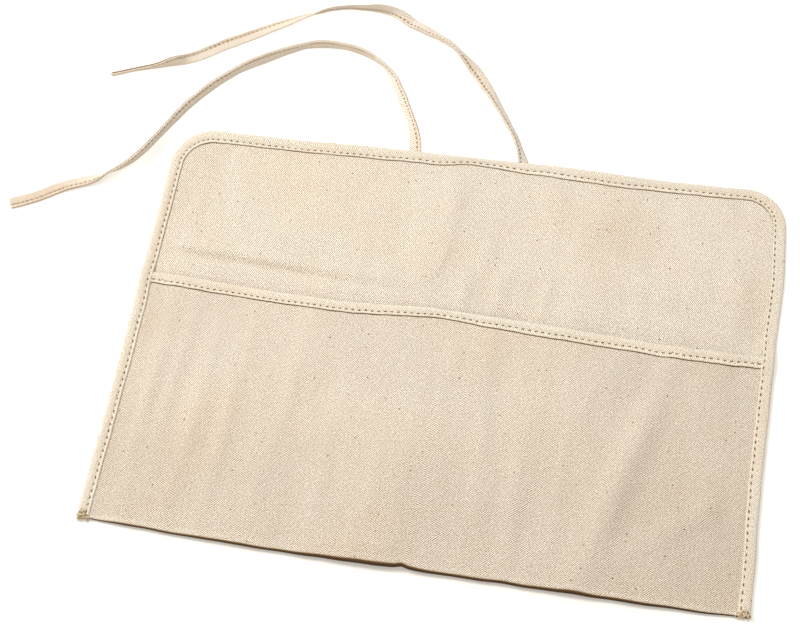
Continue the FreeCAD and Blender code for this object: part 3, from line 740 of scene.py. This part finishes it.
def add_strip(name, lines, shades, at, start):
    """A folded strip from the lines that run along it, all round its section, and how dark each one is."""
    section = np.array(lines).transpose(1, 0, 2)
    shades = np.array([shade + 0 * at for shade in shades]).T
    return add_piece(name, section, tube_faces(len(at), len(lines)), strip_drill,
                     strip_map(section[0], at, start), shades)


length = 2 * (TOP - CORNER_RADIUS - BOTTOM_END) + CORNER_RADIUS * math.pi + 2 * (HALF_WIDTH - CORNER_RADIUS)
at = np.linspace(0, length, int(length / RING_STEP) + 1)
outline, inward = edge_outline(at)
outline = outline - inward * (0.25 * ripple(51, 160, 25, at))[:, None]
# the right end is a little lower than the left one
RIGHT_END_DROP = 1.6
outline[:, 1] -= RIGHT_END_DROP * ease(0, 12, outline[:, 0]) * ease(-120, BOTTOM_END, outline[:, 1])
width = smoothed(np.interp(at, *np.array(EDGE_WIDTHS).T) + 0.22 * ripple(52, 90, 12, at), 17)
row = np.interp(at, *np.array(EDGE_ROWS).T)
# painted shade in the needle holes, uneven from hole to hole, and under the inner fold
pull = needle_holes(at, EDGE_PITCH) * np.clip(0.72 + 0.32 * ripple(55, 22, 9, at), 0.3, 1)
fold_shadow = np.interp(at, *np.array(EDGE_FOLD_SHADOW).T) * (0.85 + 0.2 * ripple(54, 60, 12, at))
# painted shade makes the left side a little browner and darker
left_side = ease(275, 240, at)
lines, shades = [], []
for inside, high, dark in upper_half(width, row, pull, fold_shadow, 0.034 + 0.01 * left_side):
    x, y = (outline + inward * inside[:, None]).T
    lines.append(np.stack([x, y, top_of_cloth(x, y) + high], axis=-1))
    shades.append(dark + 0.006 * left_side)
for share, inside in ((0.75, 0.1), (0.5, 0), (0.25, 0.1)):
    x, y = (outline + inward * inside).T
    low, high = back_middle(x, y) - CLOTH / 2 - PLY / 2, top_of_cloth(x, y) + PLY / 2
    lines.append(np.stack([x, y, low + (high - low) * share], axis=-1))
    shades.append(0)
for inside, deep, dark in lower_half(width, row, pull, 0.28, 0.34):
    x, y = (outline + inward * inside[:, None]).T
    lines.append(np.stack([x, y, back_middle(x, y) - CLOTH / 2 - deep], axis=-1))
    shades.append(dark)
x, y = (outline + inward * 1.2).T
lines.append(np.stack([x, y, top_of_cloth(x, y)], axis=-1))
shades.append(0)
# the same drill cut in a strip and ironed in half: smoother and a little paler than the body
strip_drill = cotton("unbleached cotton drill strip, folded and pressed",
                     "#FFFAEC", "#927040", 0.95, 0.9, 1.1, 0.012)
edge_strip = add_strip("edge_binding", [pulled(line) for line in lines], shades, at, 900)
rows = []
every = np.arange(EDGE_PITCH, length - 3, EDGE_PITCH)
for face in (1, -1):
    x, y = (outline + inward * (width - row)[:, None]).T
    z = top_of_cloth(x, y) + 0.45 if face > 0 else back_middle(x, y) - CLOTH / 2 - 0.3
    holes = pulled(points_at(every, at, np.stack([x, y, z], axis=1)))
    rows.append((holes, np.tile((0, 0, face), (len(every), 1))))
edge_stitches = add_stitches("edge_stitching", rows, seam_thread, 0.5, 0.32)
for piece in (edge_strip, edge_stitches):
    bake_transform(piece)
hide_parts("left_binding", "right_binding", "flap_binding")


# Mouth binding
# A second folded strip over the pocket's upper edge, with one row of stitches near its lower fold. Its ends
# are caught under the edge binding.

MOUTH_PITCH = 4.4
MOUTH_END = 213.4
# along the strip: its width, and how far its stitches are from its inner fold
MOUTH_WIDTHS = (
    (0, 8.2), (153, 8.1), (190, 7.4), (213, 6.4), (236, 8), (273, 9), (310, 8.8), (363, 8.7), (426, 8.4),
)
MOUTH_ROWS = ((0, 2.1), (200, 2.1), (260, 2.8), (426, 2.8))
x = np.linspace(-MOUTH_END, MOUTH_END, int(2 * MOUTH_END / RING_STEP) + 1)
at = x + MOUTH_END
y_top = mouth_top(x) + 0.2 * ripple(61, 90, 14, x)
width = smoothed(np.interp(at, *np.array(MOUTH_WIDTHS).T) + 0.2 * ripple(62, 70, 12, at), 17)
row = np.interp(at, *np.array(MOUTH_ROWS).T) + 0.15 * ripple(63, 120, 30, at)
# painted shade: in the needle holes, under the inner fold and, a little, outside the row
pull = needle_holes(at, MOUTH_PITCH) * np.clip(0.65 + 0.3 * ripple(65, 22, 9, at), 0.3, 1)
fold_shadow = 0.42 + 0.12 * ripple(64, 60, 12, at)
section = []
for inside, high, dark in upper_half(width, row, pull, fold_shadow, 0.03):
    section.append((inside, CLOTH / 2 + high, dark))
section += [(0.12, 0.2, 0), (0, 0, 0), (0.12, -0.2, 0)]
for inside, deep, dark in lower_half(width, row, pull, 0.25, 0.33):
    section.append((inside, -CLOTH / 2 - deep, dark))
section.append((1.2, CLOTH / 2, 0))
lines = [np.stack([x, y_top - inside, front_middle(x, y_top - inside) + high], axis=-1)
         for inside, high, dark in section]
mouth_strip = add_strip("mouth_binding_strip", lines, [dark for inside, high, dark in section], at, 1100)
rows = []
every = np.arange(2 * MOUTH_PITCH - MOUTH_END, 204, MOUTH_PITCH)
for face in (1, -1):
    y = y_top - width + row
    z = front_middle(x, y) + face * (CLOTH / 2 + (0.45 if face > 0 else 0.3))
    holes = points_at(every, x, np.stack([x, y, z], axis=1))
    rows.append((holes, np.tile((0, 0, face), (len(every), 1))))
mouth_stitches = add_stitches("mouth_stitching", rows, seam_thread, 0.5, 0.32)
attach(mouth_strip, "pouch")
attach(mouth_stitches, "pouch")
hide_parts("mouth_binding")


# Tie tack
# A dense zigzag of undyed cotton thread that holds both ties to the back, where the pocket hides it. It is
# sewn through all the layers at once.

ZIGZAG_TURNS = 45
tack_low, tack_high = [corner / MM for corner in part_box("tie_tack")]
zigzag = []
for turn, x in enumerate(np.linspace(tack_low.x, tack_high.x, ZIGZAG_TURNS)):
    zigzag.append((x, tack_low.y + 0.2 if turn % 2 else tack_high.y - 0.2, tack_low.z + 0.28))
tie_tack = add_threads("tie_tack_zigzag", [zigzag], 0.42, seam_thread)
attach(tie_tack, "pouch")
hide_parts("tie_tack")


# Corner tacks
# At the bottom corners the binding's raw ends are caught with a few stitches of yellowish waxed thread, sewn
# by hand over the edge, and yarns fray out of the cut ends.

# darker and yellower than the seams, with random brown spots of painted shade for the hollows between its
# lumpy threads
tack_thread = cotton_thread("waxed linen tacking thread, yellowish", "#FFF0D0", "#B08C54", 0.75)
# yarns of the cut strip, loose and matt
fray_yarn = cotton_thread("frayed cotton yarn ends", "#F3E6CC", "#CDB48A")
for side, name in ((-1, "left"), (1, "right")):
    draw = np.random.default_rng(70 + side)
    end = BOTTOM_END if side < 0 else BOTTOM_END - RIGHT_END_DROP
    outer, inner = side * (HALF_WIDTH - 0.3), side * (HALF_WIDTH - 9.5)
    tall = 6 if side < 0 else 4.5
    corners = np.array(((outer + side * 0.8, end - 0.6), (outer - side * 2, end + tall), (inner, end + 0.4)))
    threads = []
    for _ in range(11):
        x_here, y_here = (draw.dirichlet((1, 1, 1), 6) @ corners + draw.uniform(-0.7, 0.7, (6, 2))).T
        z_here = top_of_cloth(x_here, np.full(6, end + 2.0)) + draw.uniform(0.3, 1.7, 6)
        threads.append(pulled(np.stack([x_here, y_here, z_here], axis=-1)))
    tack = add_threads(f"corner_tack_{name}_thread", threads, 0.6, tack_thread)
    yarns = []
    for _ in range(26):
        x_here = outer + (inner - outer) * draw.random()
        z_here = draw.uniform(0.3, 2.0)
        long, lean = draw.uniform(0.8, 2.6), draw.uniform(-0.8, 0.8)
        yarns.append(((x_here, end + 1, z_here), (x_here + lean * 0.3, end - 0.2, z_here + 0.1),
                      (x_here + lean, end - long, max(0.2, z_here - draw.random()))))
    yarns = [pulled(np.array(yarn)) for yarn in yarns]
    fray = add_threads(f"corner_fray_{name}", yarns, 0.32, fray_yarn)
    for piece in (tack, fray):
        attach(piece, "pouch")
    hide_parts(f"corner_tack_{name}")


# Floor and light
# A white sheet of paper under a strong softbox behind the pouch on its left, a weak one on its right, and a
# weak warm fill in front. A white surround lights it evenly from all sides.


def seen_directly(tree):
    """1 for a ray from the camera, or from it by way of a mirror or glass, and 0 for light on its way."""
    ray = add_node(tree, "LightPath", None, None, "Is Camera Ray")
    seen = add_node(tree, "Math", {"operation": "MAXIMUM"}, {
        0: ray.node.outputs["Is Glossy Ray"], 1: ray.node.outputs["Is Transmission Ray"]})
    return add_node(tree, "Math", {"operation": "MAXIMUM"}, {0: ray, 1: seen})


# uncoated white paper, a little warm, with no shine. To the eye it also glows, least in front of the pouch,
# where its soft shadow lies, more beside and behind it, and most far away, so that the ground ends in white.
floor_white, tree, shader = start_material("white paper, matt", {
    "Base Color": linear("#E6E1D8"), "Roughness": 0.9, "Specular IOR Level": 0.1})
place = add_node(tree, "TexCoord", None, None, "Object")
apart = add_node(tree, "SeparateXYZ", None, {0: place})
back = add_node(tree, "MapRange", None, {
    "Value": apart.node.outputs["Y"], "From Min": 0.11, "From Max": 0.17, "To Min": 0.18, "To Max": 0.7})
beside = add_node(tree, "Math", {"operation": "ABSOLUTE"}, {0: apart})
beside = add_node(tree, "MapRange", None, {
    "Value": beside, "From Min": 0.195, "From Max": 0.24, "To Max": 0.5})
back = add_node(tree, "Math", {"operation": "MAXIMUM"}, {0: back, 1: beside})
away = add_node(tree, "VectorMath", {"operation": "LENGTH"}, {0: place}, "Value")
away = add_node(tree, "MapRange", None, {"Value": away, "From Min": 0.4, "From Max": 1.2})
more = add_node(tree, "Math", {"operation": "MAXIMUM"}, {0: back, 1: away})
extra = add_node(tree, "Math", {"operation": "MULTIPLY"}, {0: seen_directly(tree), 1: more})
glow = add_node(tree, "Emission", None, {"Color": linear("#FFFFFF"), "Strength": extra})
both = add_node(tree, "AddShader", None, {0: shader.outputs[0], 1: glow})
tree.links.new(both, tree.nodes["Material Output"].inputs["Surface"])
FLOOR_HALF = 6
FLOOR_LEVEL = -0.05 * MM
corners = [(x * FLOOR_HALF, y * FLOOR_HALF, FLOOR_LEVEL) for x, y in ((-1, -1), (1, -1), (1, 1), (-1, 1))]
mesh = bpy.data.meshes.new("floor")
mesh.from_pydata(corners, [], [(0, 1, 2, 3)])
mesh.materials.append(floor_white)
floor = bpy.data.objects.new("floor", mesh)
bpy.context.scene.collection.objects.link(floor)
floor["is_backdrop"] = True


def add_softbox(name, place, size, power, colour):
    """A square softbox that faces the pouch."""
    data = bpy.data.lights.new(name, "AREA")
    data.shape = "SQUARE"
    data.size = size
    data.energy = power
    data.color = linear(colour)[:3]
    lamp = bpy.data.objects.new(name, data)
    lamp.location = place
    lamp.rotation_euler = (-Vector(place)).to_track_quat("-Z", "Y").to_euler()
    bpy.context.scene.collection.objects.link(lamp)


add_softbox("softbox_right", (0.7, 1.2, 1.8), 1.2, 16, "#FFFFFF")
add_softbox("softbox_left", (-2.2, 1.0, 1.9), 1.1, 78, "#FFFFFF")
add_softbox("softbox_front", (-0.4, -1.5, 0.75), 1.0, 9, "#FFF0DC")
world = bpy.data.worlds.new("daylight")
bpy.context.scene.world = world
world.use_nodes = True
tree = world.node_tree
surround = tree.nodes["Background"]
surround.inputs["Color"].default_value = linear("#FFFFFF")
# half as strong on the pouch as it looks
strength = add_node(tree, "Mix", {"data_type": "FLOAT"}, {0: seen_directly(tree), 2: 0.48, 3: 1.0}, 0)
tree.links.new(strength, surround.inputs["Strength"])
bpy.context.scene.view_settings.view_transform = "Standard"


# Size
# This model's box, round all that renders but the floor.

low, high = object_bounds()
